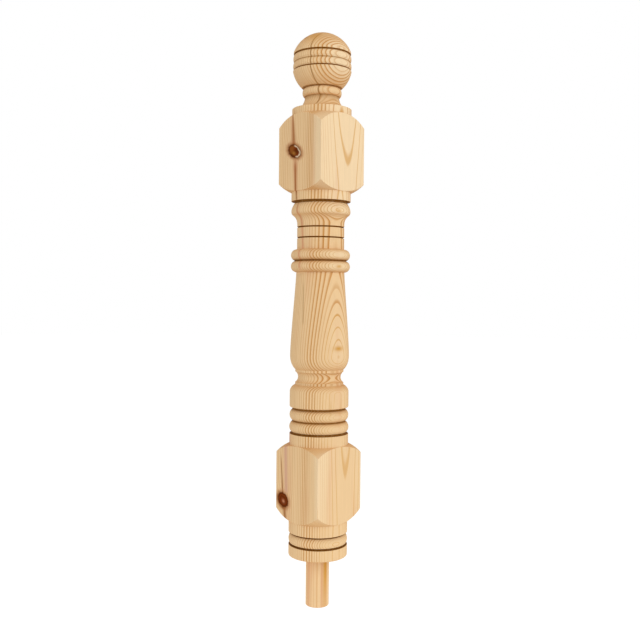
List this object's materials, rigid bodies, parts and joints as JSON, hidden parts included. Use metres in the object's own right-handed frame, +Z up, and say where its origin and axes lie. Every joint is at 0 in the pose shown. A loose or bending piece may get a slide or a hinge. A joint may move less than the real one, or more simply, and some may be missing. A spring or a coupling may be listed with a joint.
{
  "type": "turned newel post",
  "caption": "Turned softwood newel post with ball top, two square lengths with rounded shoulders, beads, a vase-shaped shaft and a round spigot below.",
  "frame": {"origin": "On the post's axis, in the plane of the seating shoulder that rests on the newel base. The spigot is below it.", "axes": "+Z up along the post. The faces of the two square lengths look along +X, -X, +Y and -Y."},
  "size_m": [0.09, 0.09, 0.8563],
  "materials": {
    "pine": "unfinished planed and sanded pine"
  },
  "bodies": {
    "root": {"newel_post": "pine"}
  },
  "joints": []
}
